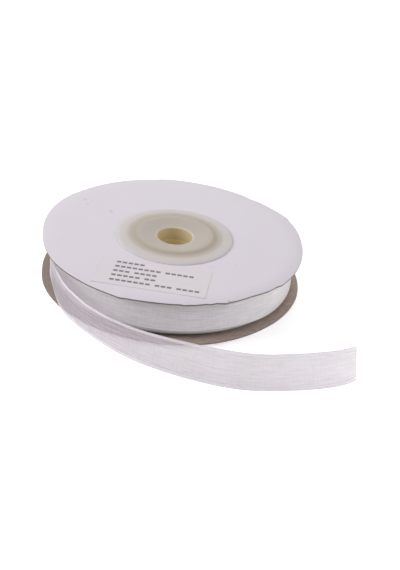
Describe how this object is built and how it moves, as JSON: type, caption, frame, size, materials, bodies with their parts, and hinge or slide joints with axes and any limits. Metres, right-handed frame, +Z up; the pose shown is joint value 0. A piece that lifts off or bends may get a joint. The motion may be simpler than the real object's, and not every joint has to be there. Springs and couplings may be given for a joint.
{
  "type": "roll of organza ribbon on a card reel",
  "caption": "Sheer woven ribbon wound on a flat card reel with a moulded plastic hub, its loose end drawn off and standing on its edge along the table.",
  "frame": {"origin": "centre of the whole part's box, on the surface that it rests on", "axes": "+Z up along the reel's axis, -Y towards the side where the loose end passes in front, +X towards the loose end's cut end"},
  "size_m": [0.0834, 0.0846, 0.0135],
  "materials": {
    "card": "matte white facing on grey-brown board",
    "hub_plastic": "milky, slightly translucent",
    "organza": "sheer plain weave with a soft sheen",
    "label_paper": "matte"
  },
  "bodies": {
    "root": {"lower_card": "card", "upper_card": "card", "lower_hub": "hub_plastic", "upper_hub": "hub_plastic", "ribbon_roll": "organza", "ribbon_end": "organza", "label": "label_paper"}
  },
  "joints": []
}
